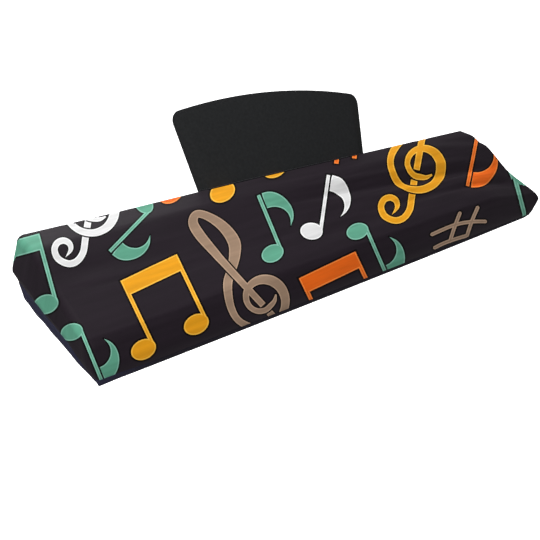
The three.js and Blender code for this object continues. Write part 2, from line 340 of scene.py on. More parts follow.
HEAD_LONG, HEAD_SHORT, HEAD_TILT, HEAD_POINTS = 0.66, 0.49, math.radians(4), 40


def head_loop(shape, grow):
    angle = np.linspace(0, 2 * math.pi, HEAD_POINTS, endpoint=False)
    x, y = (HEAD_LONG + grow) * np.cos(angle), (HEAD_SHORT + grow) * np.sin(angle)
    cos, sin = math.cos(HEAD_TILT), math.sin(HEAD_TILT)
    return np.stack([shape["at"][0] + x * cos - y * sin, shape["at"][1] + x * sin + y * cos], 1)


STEM_X, STEM_FOOT, STEM_TOP, STEM_HALF = 0.53, 0.15, 3.4, 0.1
TALL_STEM = 4.6
STUB_TOP, STUB_HALF = 2.2, 0.13
PAIR_WIDE, PAIR_TOP, BEAM_HALF = 2.93, 3.6, 0.42
# The flag, from the top of the stem
FLAG = [(0.69, -0.42, 0.46), (1.09, -0.49, 0.44), (1.47, -0.74, 0.36), (1.75, -1.12, 0.26),
        (1.86, -1.55, 0.17), (1.8, -1.95, 0.09), (1.58, -2.33, 0.0)]


def note(x=0.0, top=STEM_TOP):
    stem = [(x + STEM_X, y, STEM_HALF) for y in (STEM_FOOT, top)]
    return [{"at": (x, 0)}, stroke(stem)]


def eighth(top):
    return [[stroke([(x, top + y, half) for x, y, half in FLAG])], note(0, top)]


def pair():
    ends = (STEM_X - STEM_HALF, PAIR_WIDE + STEM_X + STEM_HALF)
    beam = [(x, PAIR_TOP - BEAM_HALF, BEAM_HALF) for x in ends]
    return [note(0, PAIR_TOP) + note(PAIR_WIDE, PAIR_TOP) + [stroke(beam)]]


# The clef's ring: its turn in degrees, radius, and half width, which grows and swells at one place
SPIRAL_FROM, SPIRAL_TO, SPIRAL_POINTS = 79, 540, 15
SPIRAL_RADIUS, SPIRAL_GROWTH, SPIRAL_POWER = 0.74, 1.3, 1.4
SPIRAL_HALF, HALF_GROWTH, HALF_SWELL = 0.17, 0.05, 0.13
WIDEST_AT, WIDEST_RUN = 349, 75
RING_TIP = [(0.88, -0.42, 0.05), (0.53, -0.66, 0.13)]
CLEF_BODY = [(-1.74, 1.1, 0.25), (-0.98, 2.17, 0.29), (-0.22, 2.66, 0.3), (0.62, 3.27, 0.36),
             (1.15, 3.96, 0.4), (1.27, 5.1, 0.34)]
CLEF_LOOP = [(1.0, 6.22, 0.27), (0.55, 6.85, 0.25), (0.0, 6.6, 0.31), (-0.21, 5.7, 0.33),
             (-0.25, 4.15, 0.27), (-0.25, 2.6, 0.23), (-0.2, -0.38, 0.21)]
CLEF_TAIL = [(-0.22, -0.98, 0.22), (-0.17, -2.2, 0.22), (-0.15, -3.05, 0.22), (-0.45, -3.7, 0.22),
             (-1.0, -3.97, 0.22), (-1.7, -3.78, 0.22), (-2.05, -3.25, 0.21), (-1.95, -2.75, 0.21),
             (-1.55, -2.52, 0.21), (-1.14, -2.66, 0.19), (-1.0, -3.05, 0.14), (-1.24, -3.6, 0.0)]


def clef():
    """The clef's tail, and above it one line from the ring's inner tip over the loop and down the stem."""
    share = np.linspace(0, 1, SPIRAL_POINTS)
    turned = lerp(SPIRAL_FROM, SPIRAL_TO, share)
    radius = SPIRAL_RADIUS + SPIRAL_GROWTH * share**SPIRAL_POWER
    half = SPIRAL_HALF + HALF_GROWTH * share + HALF_SWELL * bell(turned, WIDEST_AT, WIDEST_RUN)
    angle = np.radians(-turned)
    ring = RING_TIP + [*np.stack([radius * np.cos(angle), radius * np.sin(angle), half], 1)]
    line = smooth(ring + CLEF_BODY + CLEF_LOOP)
    # From the ring's left side up to the loop's right side the line passes under the stem
    under_from, under_to = (len(ring) - 1) * SPAN_ROWS, (len(ring) + len(CLEF_BODY) - 1) * SPAN_ROWS
    under = {"line": line[under_from - 1:under_to + 2], "capped": (False, False)}
    over = [{"line": line[:under_from + 1], "capped": (True, False)},
            {"line": line[under_to:], "capped": (False, True)}]
    return [[stroke(CLEF_TAIL)], [under], over]


# Bars and posts of the sharp, with their half width; their ends are rounded over these turns
SHARP_LINES = [[(-1.64, -0.44), (-0.33, 0.12), (0.7, 0.34), (1.68, 0.36)],
               [(-1.48, -1.23), (-0.9, -0.94), (-0.2, -0.68), (0.54, -0.46)],
               [(-0.53, -0.9), (-0.2, 0.1), (0.12, 0.94)],
               [(0.48, -0.55), (0.8, 0.4), (1.17, 1.27)]]
SHARP_HALF = 0.105
ROUND_TURNS = (0.0, 0.6, 1.1, math.pi / 2)
ROUND_LEAST, ROUND_ROWS = 0.25, 3


def rounded(points):
    """A stroke of the sharp's width with round ends."""
    points = np.array(points, float)
    rows = []
    for end, inner in ((points[0], points[1]), (points[-1], points[-2])):
        way = (inner - end) / norm(inner - end)
        rows.append([(*(end + way * SHARP_HALF * (1 - math.cos(turn))),
                      SHARP_HALF * max(ROUND_LEAST, math.sin(turn))) for turn in ROUND_TURNS])
    line = smooth([(*p, SHARP_HALF) for p in points])[ROUND_ROWS:-ROUND_ROWS]
    return {"line": np.vstack([rows[0], line, rows[1][::-1]])}


SIGNS = {
    "quarter": [note()],
    "eighth": eighth(STEM_TOP),
    "tall": eighth(TALL_STEM),
    "stub": [[stroke([(0, y, STUB_HALF) for y in (0, STUB_TOP)])]],
    "pair": pair(),
    "clef": clef(),
    "sharp": [[rounded(line) for line in SHARP_LINES]],
}

# Signs as seen in the image: sign, colour, place in pixels, turn in degrees, pixels to a staff space
SEEN_SIGNS = [
    ("pair", "gold", (143.5, 349.5), 25.5, 20),
    ("pair", "orange", (322, 347), 25.5, 20),
    ("pair", "mint", (519.6, 237), 14.8, 20),
    ("pair", "mint", (-9.2, 319.4), 15.3, 19.5),
    ("quarter", "gold", (222.5, 192), 25, 20),
    ("quarter", "gold", (274.5, 167.5), 25, 20),
    ("quarter", "orange", (170.5, 193), 25, 20),
    ("stub", "orange", (336.3, 163.6), -6, 17),
    ("stub", "orange", (354.3, 158.4), -6, 17),
    ("clef", "taupe", (261.5, 298.7), 42, 15.5),
    ("clef", "gold", (420.6, 164.8), -11, 15),
    ("clef", "white", (94, 207.9), -11, 15),
    ("eighth", "mint", (272.6, 253.4), 22.6, 17.4),
    ("eighth", "white", (311.5, 231), -8, 17),
    ("eighth down", "mint", (143.5, 203.5), -44, 17),
    ("eighth down", "mint", (357.5, 231), 23.6, 17),
    ("tall down", "orange", (473.8, 106.6), -11, 17),
    ("eighth down", "mint", (71.8, 332), 22.4, 17.2),
    ("sharp", "taupe", (458.4, 227.6), 0, 17),
]
# Signs on the pattern itself, also on the sides that the image hides: place, one space across, one up
PATTERN_SIGNS = [
    ("eighth down", "white", (-590, 318), (-38, 6), (-6, -36)),
    ("eighth down", "gold", (110, 322), (-38, 4), (-4, -36)),
    ("eighth down", "taupe", (-130, 326), (-38, -5), (5, -36)),
    ("sharp", "mint", (385, 348), (-36, 0), (0, -36)),
    ("eighth down", "taupe", (712, 200), (6, 36), (-34, 6)),
]
# A sign's dark outline and pale rim, and the longest edge of its loops, in staff spaces
OUTLINE, RIM = 0.095, 0.065
LONGEST_STEP = 0.22


def dense(loop):
    """The loop with its long edges divided, so that it can bend over the cover's edges."""
    rows = []
    for a, b in zip(loop, np.roll(loop, -1, 0)):
        parts = max(1, math.ceil(np.hypot(*(b - a)) / LONGEST_STEP))
        rows.append(a + (b - a) * np.arange(parts)[:, None] / parts)
    return np.vstack(rows)


def stroke_loops(sign):
    """A sign's closed loops from the bottom up, each with what it shows: outline, rim or fill."""
    kind, _, down = sign.partition(" ")
    flip = np.array([1, -1 if down else 1])
    for group in SIGNS[kind]:
        for part, grow in (("outline", OUTLINE), ("rim", 0), ("fill", -RIM)):
            for shape in group:
                loop = head_loop(shape, grow) if "at" in shape else stroke_loop(shape, grow)
                yield part, dense(loop) * flip


def camera_axes():
    """The image's right, its up and the way the camera looks."""
    right = np.array([math.cos(YAW), -math.sin(YAW), 0])
    level = math.cos(PITCH)
    ahead = np.array([math.sin(YAW) * level, math.cos(YAW) * level, -math.sin(PITCH)])
    up = np.cross(right, ahead)
    cos, sin = math.cos(ROLL), math.sin(ROLL)
    return cos * right + sin * up, cos * up - sin * right, ahead


IMAGE_RIGHT, IMAGE_UP, AHEAD = camera_axes()
# Flat stand-ins for level strip, slope (y and z of its edges) and left end, to lay the signs on
LEVEL_Z = 176
SLOPE_HIGH, SLOPE_LOW = (209.5, 174), (14, 109)
SLOPE = (SLOPE_HIGH[1] - SLOPE_LOW[1]) / (SLOPE_HIGH[0] - SLOPE_LOW[0])
LEFT_X = -661


def sloping_z(y):
    return np.minimum(LEVEL_Z, SLOPE_LOW[1] + SLOPE * (y - SLOPE_LOW[0]))


# Share of the folds that the print is laid on; the rest bends it
LAID_FOLDS = 0.5


def shown_at(flat):
    """Image points of pattern points, on cloth that has only part of its folds."""
    off = panel_point(*flat.T, folded=LAID_FOLDS) - EYE
    across = np.stack([off @ IMAGE_RIGHT, -(off @ IMAGE_UP)], 1)
    return IMAGE / 2 + FOCAL_PX * across / (off @ AHEAD)[:, None]


# Rounds, longest step and farthest way in millimetres, how close in pixels, and the least slant seen
SETTLE_ROUNDS = 14
SETTLE_STEP = 7.0
SETTLE_REACH = 80.0
SETTLE_CLOSE = 0.4
SEEN_TURN = -0.004


def cross(a, b):
    return a[:, 0] * b[:, 1] - a[:, 1] * b[:, 0]


def settled(flat, pixels):
    """Pattern points moved until each shows at its image point, where the cover shows it at all."""
    place = flat.copy()
    for _ in range(SETTLE_ROUNDS):
        here = shown_at(place)
        across = shown_at(place + (1, 0)) - here
        up = shown_at(place + (0, 1)) - here
        miss = pixels - here
        turn = np.minimum(cross(across, up), SEEN_TURN)
        step = np.stack([cross(miss, up), cross(across, miss)], 1) / turn[:, None]
        length = norm(step, axis=1, keepdims=True)
        place += step * np.minimum(1, SETTLE_STEP / np.maximum(length, TINY))
    close = norm(shown_at(place) - pixels, axis=1) < SETTLE_CLOSE
    near = norm(place - flat, axis=1) < SETTLE_REACH
    return np.where((close & near)[:, None], place, flat)


# Past these edges the print isn't seen, and its signs are shortened back to their own proportions
SEEN_BEHIND, SEEN_BESIDE = 8, 12
LAST_SEEN_Y, LAST_SEEN_X = BACK_Y + SEEN_BEHIND, HALF_X + SEEN_BESIDE
PAST_SHARE = 0.4


def shortened(laid):
    u, v = laid.T
    slope = (u - EYE[0]) / (v - EYE[1])
    past = (1 - PAST_SHARE) * np.maximum(0, v - LAST_SEEN_Y)
    u, v = u - past * slope, v - past
    past = (1 - PAST_SHARE) * np.maximum(0, u - LAST_SEEN_X)
    return np.stack([u - past, v - past / slope], 1)


def laid_on(pixels):
    """Pattern points under image points."""
    steps = (np.asarray(pixels, float) - IMAGE / 2) / FOCAL_PX
    rays = steps[:, :1] * IMAGE_RIGHT - steps[:, 1:] * IMAGE_UP + AHEAD
    level = EYE + rays * ((LEVEL_Z - EYE[2]) / rays[:, 2:])
    rise = SLOPE_LOW[1] - EYE[2] + SLOPE * (EYE[1] - SLOPE_LOW[0])
    slope = EYE + rays * (rise / (rays[:, 2:] - SLOPE * rays[:, 1:2]))
    top = np.where(sloping_z(level[:, 1:2]) < LEVEL_Z, slope, level)
    front = EYE - rays * (EYE[1] / rays[:, 1:2])
    left = EYE + rays * ((LEFT_X - EYE[0]) / rays[:, :1])
    on_front = np.stack([front[:, 0], front[:, 2] - sloping_z(0)], 1)
    on_left = np.stack([LEFT_X + left[:, 2] - sloping_z(left[:, 1]), left[:, 1]], 1)
    laid = np.where(top[:, 1:2] < 0, on_front, top[:, :2])
    return settled(np.where(laid[:, :1] < LEFT_X, on_left, shortened(laid)), pixels)


def print_loops():
    """Every loop of the print on the flat pattern, from the bottom up, with its ink and part."""
    shown, pixels = [], []
    for sign, colour, at, turn, size in SEEN_SIGNS:
        angle = math.radians(turn)
        cos, sin = math.cos(angle), math.sin(angle)
        for part, loop in stroke_loops(sign):
            x, y = loop.T
            shown.append((colour, part))
            pixels.append(at + size * np.stack([x * cos - y * sin, -(x * sin + y * cos)], 1))
    ends = np.cumsum([len(loop) for loop in pixels])[:-1]
    loops = list(zip(shown, np.split(laid_on(np.vstack(pixels)), ends)))
    for sign, colour, at, across, up in PATTERN_SIGNS:
        for part, loop in stroke_loops(sign):
            loops.append(((colour, part), at + loop[:, :1] * across + loop[:, 1:] * up))
    return loops


# Materials

def linear(hexa):
    """A colour in sRGB hex as linear red, green, blue and alpha."""
    parts = [int(hexa[i:i + 2], 16) / 255 for i in (1, 3, 5)]
    return [p / 12.92 if p <= 0.04045 else ((p + 0.055) / 1.055) ** 2.4 for p in parts] + [1.0]


def add(tree, kind, inputs=None, **settings):
    """Adds a node with its settings; an input is a value, a socket, or a node with its first socket."""
    node = tree.nodes.new(kind)
    for name, value in settings.items():
        setattr(node, name, value)
    for name, value in (inputs or {}).items():
        if isinstance(value, bpy.types.Node):
            value = value.outputs[0]
        if isinstance(value, bpy.types.NodeSocket):
            tree.links.new(value, node.inputs[name])
        else:
            node.inputs[name].default_value = value
    return node


def new_material(name):
    material = bpy.data.materials.new(name)
    material.use_nodes = True
    material.node_tree.nodes.clear()
    return material, material.node_tree


def bands(pitch):
    """Scale of a wave texture whose bands lie this far apart, in metres."""
    return 1 / pitch / math.pi


# Sockets of a node that mixes colours: the second colour's share, both colours and the result
SHARE, FIRST, SECOND, MIXED = 0, 6, 7, 2


def surface(tree, colour, height, strength, distance, roughness, specular):
    """Ends a cloth's material: its colour, a fine relief from height, and how rough and shiny it is."""
    relief = add(tree, "ShaderNodeBump", {"Height": height, "Strength": strength, "Distance": distance})
    shader = add(tree, "ShaderNodeBsdfPrincipled", {
        "Base Color": colour, "Roughness": roughness, "Specular IOR Level": specular, "Normal": relief})
    add(tree, "ShaderNodeOutputMaterial", {"Surface": shader})


def printed_knit():
    """Printed polyester stretch knit: matt, faintly streaked along its length, with fine knit ribs."""
    material, tree = new_material("printed polyester knit")
    colour = add(tree, "ShaderNodeAttribute", attribute_name="print")
    place = add(tree, "ShaderNodeUVMap", uv_map="pattern")
    # Streaks about 140 mm long and 14 mm wide, from the knit being pulled lengthways
    drawn = add(tree, "ShaderNodeMapping", {"Vector": place, "Scale": (7, 70, 1)})
    streaks = add(tree, "ShaderNodeTexNoise", {"Vector": drawn, "Scale": 1.0, "Detail": 3.0})
    shade = add(tree, "ShaderNodeMapRange", {
        "Value": streaks.outputs["Fac"], "From Min": 0.3, "From Max": 0.7, "To Min": 0.88, "To Max": 1.1})
    inks = {SHARE: 1.0, FIRST: colour.outputs["Color"], SECOND: shade}
    base = add(tree, "ShaderNodeMix", inks, data_type="RGBA", blend_type="MULTIPLY")
    # Knit ribs 0.6 mm apart on such cloth; drawn 2.4 mm apart to show
    ribs = add(tree, "ShaderNodeTexWave", {
        "Vector": place, "Scale": bands(0.0024), "Distortion": 1.5, "Detail": 2.0}, bands_direction="X")
    surface(tree, base.outputs[MIXED], ribs.outputs["Fac"], strength=0.08, distance=0.0004,
            roughness=0.62, specular=0.08)
    return material


def navy_rib():
    """Navy cotton rib over elastic: matt, with fine upright ribs and mottled navy tones, and near black
    along the front as painted shade.
    """
    material, tree = new_material("navy ribbed hem cloth")
    place = add(tree, "ShaderNodeUVMap", uv_map="pattern")
    # Ribs 1 mm apart on the real band; drawn 3 mm apart to show
    ribs = add(tree, "ShaderNodeTexWave", {
        "Vector": place, "Scale": bands(0.003), "Distortion": 0.8}, bands_direction="X")
    wear = add(tree, "ShaderNodeTexNoise", {"Vector": place, "Scale": 60.0, "Detail": 4.0})
    worn = add(tree, "ShaderNodeMix", {
        SHARE: wear.outputs["Fac"], FIRST: linear("#262639"), SECOND: linear("#37374f")}, data_type="RGBA")
    # Metres along the band from the left front corner: the front gets painted shade, which fades out near
    # the left front corner and past the right front corner
    along = add(tree, "ShaderNodeSeparateXYZ", {"Vector": place}).outputs["X"]
    corner = add(tree, "ShaderNodeMapRange", {
        "Value": along, "From Min": 0.0, "From Max": 0.12, "To Min": 0.8, "To Max": 0.0})
    beyond = add(tree, "ShaderNodeMapRange", {"Value": along, "From Min": 1.32, "From Max": 1.42})
    unshaded_share = add(tree, "ShaderNodeMath", {0: corner, 1: beyond}, operation="MAXIMUM")
    # Painted shade: along the front the navy gives way to #1f1c24, standing in for the shadow under the
    # turned-in hem
    base = add(tree, "ShaderNodeMix", {
        SHARE: unshaded_share, FIRST: linear("#1f1c24"), SECOND: worn.outputs[MIXED]}, data_type="RGBA")
    surface(tree, base.outputs[MIXED], ribs.outputs["Fac"], strength=0.3, distance=0.0006,
            roughness=0.85, specular=0.08)
    return material


def black_brushed():
    """Black brushed stretch cloth: a short nap that scatters light, so it looks dusty black and even."""
    material, tree = new_material("black brushed stretch cloth")
    place = add(tree, "ShaderNodeTexCoord").outputs["Object"]
    # Nap clumps of about 6 mm and fibres of about 1 mm
    clumps = add(tree, "ShaderNodeTexNoise", {"Vector": place, "Scale": 160.0, "Detail": 5.0})
    fibres = add(tree, "ShaderNodeTexNoise", {"Vector": place, "Scale": 900.0, "Detail": 2.0})
    base = add(tree, "ShaderNodeMix", {
        SHARE: clumps.outputs["Fac"], FIRST: linear("#202122"), SECOND: linear("#2d2e2f")}, data_type="RGBA")
    surface(tree, base.outputs[MIXED], fibres.outputs["Fac"], strength=0.25, distance=0.0005,
            roughness=0.9, specular=0.06)
    return material


def sewing_thread(name, hexa):
    """Spun polyester sewing thread: a little shinier than the cloth, with a fine twist."""
    material, tree = new_material(name)
    place = add(tree, "ShaderNodeTexCoord").outputs["Object"]
    twist = add(tree, "ShaderNodeTexWave", {"Vector": place, "Scale": 700.0}, bands_direction="DIAGONAL")
    surface(tree, linear(hexa), twist.outputs["Fac"], strength=0.4, distance=0.0002,
            roughness=0.6, specular=0.25)
    return material


# Meshes

def linked(name, data):
    thing = bpy.data.objects.new(name, data)
    bpy.context.collection.objects.link(thing)
    return thing


def two_sided(outer, inner, faces):
    """Closed cloth from two sheets with the same faces, joined round every open edge."""
    count = len(outer)
    edges = {(a, b) for face in faces for a, b in zip(face, face[1:] + face[:1])}
    rim = [(b, a, a + count, b + count) for a, b in sorted(edges) if (b, a) not in edges]
    turned = [tuple(i + count for i in reversed(face)) for face in faces]
    return np.vstack([outer, inner]), faces + turned + rim


def ring_faces(rings, sides):
    """Four-sided faces from each ring of points to the next, and from the last ring to the first."""
    index = np.arange(rings * sides).reshape(rings, sides)
    beyond = np.roll(index, -1, 0)
    return np.stack([index, beyond, np.roll(beyond, -1, 1), np.roll(index, -1, 1)], -1)


def finished(name, points, faces, material, flat=None, normals=None):
    """A piece in metres from the mount; flat gives its pattern coordinates point by point."""
    mesh = bpy.data.meshes.new(name)
    mesh.from_pydata(((points - MOUNT) * MM).tolist(), [], faces)
    mesh.materials.append(material)
    mesh.shade_smooth()
    corners = np.empty(len(mesh.loops), int)
    mesh.loops.foreach_get("vertex_index", corners)
    if flat is not None:
        layer = mesh.uv_layers.new(name="pattern")
        layer.uv.foreach_set("vector", (flat[corners] * MM).ravel())
    if normals is not None:
        mesh.normals_split_custom_set_from_vertices(normals.tolist())
    return linked(name, mesh)


def inside(points, loop):
    """True for the points that a closed loop goes round."""
    turns = np.zeros(len(points), int)
    x, y = points.T
    for (x0, y0), (x1, y1) in zip(loop, np.roll(loop, -1, 0)):
        side = (x1 - x0) * (y - y0) - (x - x0) * (y1 - y0)
        turns += (y0 <= y) & (y < y1) & (side > 0)
        turns -= (y1 <= y) & (y < y0) & (side < 0)
    return turns != 0


# Colours of the print: ground, each ink's fill and rim, the signs' edge, and the cloth's other side
GROUND = "#211a21"
INK = {
    "gold": ("#e0991a", "#f3b840"),
    "mint": ("#5b9c83", "#7fb9a4"),
    "white": ("#dadada", "#eeeeee"),
    "orange": ("#e86617", "#f98637"),
    "taupe": ("#977e69", "#b59881"),
}
INK_EDGE = "#060406"
REVERSE = "#4a4449"
REVERSE_PRINT = 0.1
# The net that the print is cut into: step, ways at a corner, and rows on the rolled edge and below
NET = 8
CORNER_FAN = 10
ROLL_ROWS = 6
WALL_ROWS = 10
STRAIGHT_BACK = 0.99
WHOLE_HULL, WELD = 0, 0.02


def ink(colour, part):
    fill, rim = INK[colour]
    return np.array(linear({"outline": INK_EDGE, "rim": rim, "fill": fill}[part]))


def cover_panel(material):
    """Top and skirts in one cloth, with the print cut into its net of triangles."""
    points, edges = [], []

    def add_loop(loop):
        count, first = len(loop), len(points)
        points.extend(Vector(p) for p in loop)
        edges.extend((first + i, first + (i + 1) % count) for i in range(count))

    rim, way = rim_stations(NET, CORNER_FAN)
    side = skirt(*rim.T, *way.T)
    roll, flap = side.roll, side.roll + side.wall_top - side.band_top
    hem_line = rim + way * flap[:, None]
    add_loop(hem_line)
    mouth = (way[:, 1] > STRAIGHT_BACK) & (np.abs(rim[:, 0] - POCKET_CENTRE) < MOUTH_HALF)
    mouth_line = np.vstack([rim[mouth], (rim + way * roll[:, None])[mouth][::-1]])
    add_loop(mouth_line)
    low, high = hem_line.min(0), hem_line.max(0)
    loops = [(shown, loop) for shown, loop in print_loops()
             if (loop.max(0) > low).all() and (loop.min(0) < high).all()]
    for _, loop in loops:
        add_loop(loop)
    columns, lines = net_lines(NET)
    points.extend(Vector((x, y)) for x in columns for y in lines)
    rows = [roll * (k / ROLL_ROWS) for k in range(1, ROLL_ROWS + 1)]
    rows += [lerp(roll, flap, k / WALL_ROWS) for k in range(1, WALL_ROWS)]
    for row in rows:
        points.extend(Vector(p) for p in rim + way * row[:, None])

    net_points, _, net_faces, *_ = delaunay_2d_cdt(points, edges, [], WHOLE_HULL, WELD, False)
    flat = np.array([tuple(p) for p in net_points])
    faces = np.array([tuple(f) for f in net_faces])
    middle = flat[faces].mean(1)
    kept = inside(middle, hem_line) & ~inside(middle, mouth_line)
    faces, middle = faces[kept], middle[kept]
    used, faces = np.unique(faces, return_inverse=True)
    faces = faces.reshape(-1, 3)
    flat = flat[used]

    colours = np.tile(linear(GROUND), (len(faces), 1))
    for shown, loop in loops:
        near = np.flatnonzero(((middle > loop.min(0)) & (middle < loop.max(0))).all(1))
        colours[near[inside(middle[near], loop)]] = ink(*shown)

    outer = panel_point(*flat.T)
    normal = panel_normal(*flat.T)
    cloth, all_faces = two_sided(outer, outer - normal * CLOTH, [tuple(f) for f in faces.tolist()])
    piece = finished("printed_panel", cloth, all_faces, material, np.vstack([flat, flat]),
                     np.vstack([normal, -normal]))
    behind = lerp(np.array(linear(REVERSE)), colours, REVERSE_PRINT)
    rim_count = len(all_faces) - 2 * len(faces)
    edge = np.tile(linear(GROUND), (4 * rim_count, 1))
    corners = [np.repeat(colours, 3, 0), np.repeat(behind, 3, 0), edge]
    attribute = piece.data.color_attributes.new("print", "FLOAT_COLOR", "CORNER")
    attribute.data.foreach_set("color", np.vstack(corners).ravel())
    return piece


# Section of the hem band: share of the way down it, and how far out from the skirt
BAND_SECTION = [(0.0, 0.1), (0.06, 0.8), (0.2, 1.0), (0.38, 1.05), (0.56, 1.05), (0.74, 1.0), (0.88, 0.8),
                (0.97, 0.2), (1.0, -0.9), (0.97, -2.0), (0.88, -2.6), (0.6, -2.8), (0.3, -2.8), (-0.1, -2.5),
                (-0.15, -1.9), (-0.1, -1.3), (0.0, -1.25)]
BAND_STEP = 3.5
BAND_FAN = 16
PUFF_DOWN = 1.2
# Gathers of the elastic: length of the wave, its height and where it starts
GATHERS = [(13.0, 0.28, 0.3), (19.0, 0.22, 1.7), (31.0, 0.2, 4.1), (8.3, 0.12, 2.2)]
# Where the band's two ends are sewn together, with the groove's half width and depth
JOIN_RUN, JOIN_HALF, JOIN_DEEP = 12.0, 3.0, 1.1


def gather(run):
    join = JOIN_DEEP * bell(run, JOIN_RUN, JOIN_HALF)
    return sum(high * np.sin(2 * math.pi * run / long + start) for long, high, start in GATHERS) - join


def band_frame():
    """The rim, the ways down from it to the band's top and hem, and the run along the band."""
    rim, way = rim_stations(BAND_STEP, BAND_FAN)
    side = skirt(*rim.T, *way.T)
    top_d = side.roll + side.wall_top - side.band_top + SEAM_GAP
    hem_d = side.roll + side.wall_top - side.hem
    line = panel_point(*(rim + way * top_d[:, None]).T)
    step = norm(np.diff(line, axis=0, append=line[:1]), axis=1)
    run = np.concatenate([[0], np.cumsum(step)[:-1]])
    return rim, way, top_d, hem_d, run


def hem_band(material):
    """Turned cloth round the hem, gathered by the elastic in it."""
    rim, way, top_d, hem_d, run = band_frame()
    rows, flat = [], []
    for down, out in BAND_SECTION:
        d = lerp(top_d, hem_d, down)
        place = (rim + way * d[:, None]).T
        puff = gather(run) * math.sin(math.pi * min(1, down * PUFF_DOWN)) if out > 0 else 0 * run
        rows.append(panel_point(*place) + panel_normal(*place) * (out + puff)[:, None])
        flat.append(np.stack([run, -d], 1))
    faces = ring_faces(len(rows), len(run)).reshape(-1, 4).tolist()
    return finished("hem_band_cloth", np.vstack(rows), faces, material, np.vstack(flat))


# Pocket

# The net's columns and rows, and how much closer they stand towards the sides and the top
POCKET_COLUMNS, SIDE_CROWD = 120, 1.5
POCKET_ROWS, TOP_CROWD = 44, 1.4
# The seam's groove, and the puckers from it, with how their spacing drifts
SEAM_LINE, SEAM_DEEP, SEAM_WIDE = 6.0, 0.7, 1.6
PUCKER_LONG, PUCKER_HIGH, PUCKER_REACH, PUCKER_FROM = 11.0, 0.35, 14.0, 1
DRIFT, DRIFT_LONG = 0.6, 23
# The faces' slack: height, its two waves across and up, and the way in over which it grows
SLACK_HIGH, SLACK_WAVES, SLACK_RUN = 0.9, ((5.1, 2.3), (-1.7, 4.0)), (10, 60)
FOOT_SHARE = 0.06
# The way the pocket's front faces
FRONT_FACING = np.array([0, -math.cos(POCKET_LEAN), math.sin(POCKET_LEAN)])


def pocket_height(a, inset):
    left, middle, right = POCKET_HEIGHTS
    arch = middle + (right - left) / 2 * a + ((left + right) / 2 - middle) * a**2
    past = np.maximum(0, np.abs(a) * POCKET_TOP_HALF - (POCKET_TOP_HALF - POCKET_CORNER))
    return arch - (POCKET_CORNER - np.sqrt(POCKET_CORNER**2 - past**2)) - inset


def pocket_point(a, b, side, layer):
    """A point across (a) and up (b) the pocket, on its front (side -1) or back (side 1)."""
    inset = POCKET_SEAM if layer > 0 else 0
    height = pocket_height(a, inset)
    spread = (POCKET_TOP_HALF - POCKET_BOTTOM_HALF) * b * height / POCKET_HEIGHTS[1]
    x = POCKET_CENTRE + a * (POCKET_BOTTOM_HALF + spread - inset)
    radius = BACK_ROLL + SEAM_GAP
    full = 1 - smoothstep(np.abs(a), POCKET_CLOSE_FROM, 1)
    turn = math.pi / 4 + side * full * (math.pi / 4 - layer / radius)
    edge = top_height(np.clip(x, -HALF_X, HALF_X), BACK_Y) - BACK_ROLL
    slant = math.sin(math.pi / 4)
    middle_y, middle_z = BACK_Y + radius * slant, edge + radius * slant
    apart = np.sqrt(np.maximum(0, 1 - b**POCKET_CLOSE_POWER))
    off_y, off_z = BACK_Y + radius * np.sin(turn) - middle_y, edge + radius * np.cos(turn) - middle_z
    y = middle_y + b * height * math.sin(POCKET_LEAN) + off_y * apart
    z = middle_z + b * height * math.cos(POCKET_LEAN) + off_z * apart
    return np.stack([x, y, z], -1)


def pocket_relief(a, b, layer):
    """How far the pocket's face stands in or out: the seam's groove, puckers from it, and slack."""
    if layer > 0:
        return 0 * a
    width = POCKET_BOTTOM_HALF + (POCKET_TOP_HALF - POCKET_BOTTOM_HALF) * b
    top_way, side_way = (1 - b) * pocket_height(a, 0), (1 - np.abs(a)) * width
    way = np.minimum(top_way, side_way)
    groove = -SEAM_DEEP * bell(way, SEAM_LINE, SEAM_WIDE)
    along = np.where(top_way < side_way, a * width, b * pocket_height(a, 0))
    pucker = PUCKER_HIGH * np.sin(2 * math.pi * along / PUCKER_LONG + DRIFT * np.sin(along / DRIFT_LONG))
    pucker *= np.exp(-way / PUCKER_REACH) * smoothstep(way, PUCKER_FROM, SEAM_LINE)
    slack = SLACK_HIGH
    for wave_a, wave_b in SLACK_WAVES:
        slack = slack * np.sin(a * wave_a + b * wave_b)
    return groove + pucker + slack * smoothstep(way, *SLACK_RUN)


def pocket_layer(layer):
    a = np.linspace(-1, 1, POCKET_COLUMNS + 1)
    a = np.sign(a) * (1 - (1 - np.abs(a)) ** SIDE_CROWD)
    b = 1 - (1 - np.linspace(0, 1, POCKET_ROWS + 1)) ** TOP_CROWD
    b, a = np.meshgrid(b, a, indexing="ij")
    relief = (pocket_relief(a, b, layer) * smoothstep(b, 0, FOOT_SHARE))[..., None]
    front = pocket_point(a, b, -1, layer) + FRONT_FACING * relief
    back = pocket_point(a, b, 1, layer) - FRONT_FACING * relief
    index_front = np.arange(a.size).reshape(a.shape)
    index_back = index_front.copy()
    inner = np.zeros(a.shape, bool)
    inner[:-1, 1:-1] = True
    index_back[inner] = a.size + np.arange(inner.sum())
    points = np.vstack([front.reshape(-1, 3), back[inner]])
    faces = []
    for index, way in ((index_front, 1), (index_back, -1)):
        quads = np.stack([index[:-1, :-1], index[:-1, 1:], index[1:, 1:], index[1:, :-1]], -1)
        faces += [tuple(q) for q in quads[..., ::way].reshape(-1, 4).tolist()]
    return points, faces


def music_rest_pocket(material):
    outer, faces = pocket_layer(0)
    inner, _ = pocket_layer(CLOTH)
    return finished("pocket_cloth", *two_sided(outer, inner, faces), material)


# Stitches along a path, by Geometry Nodes

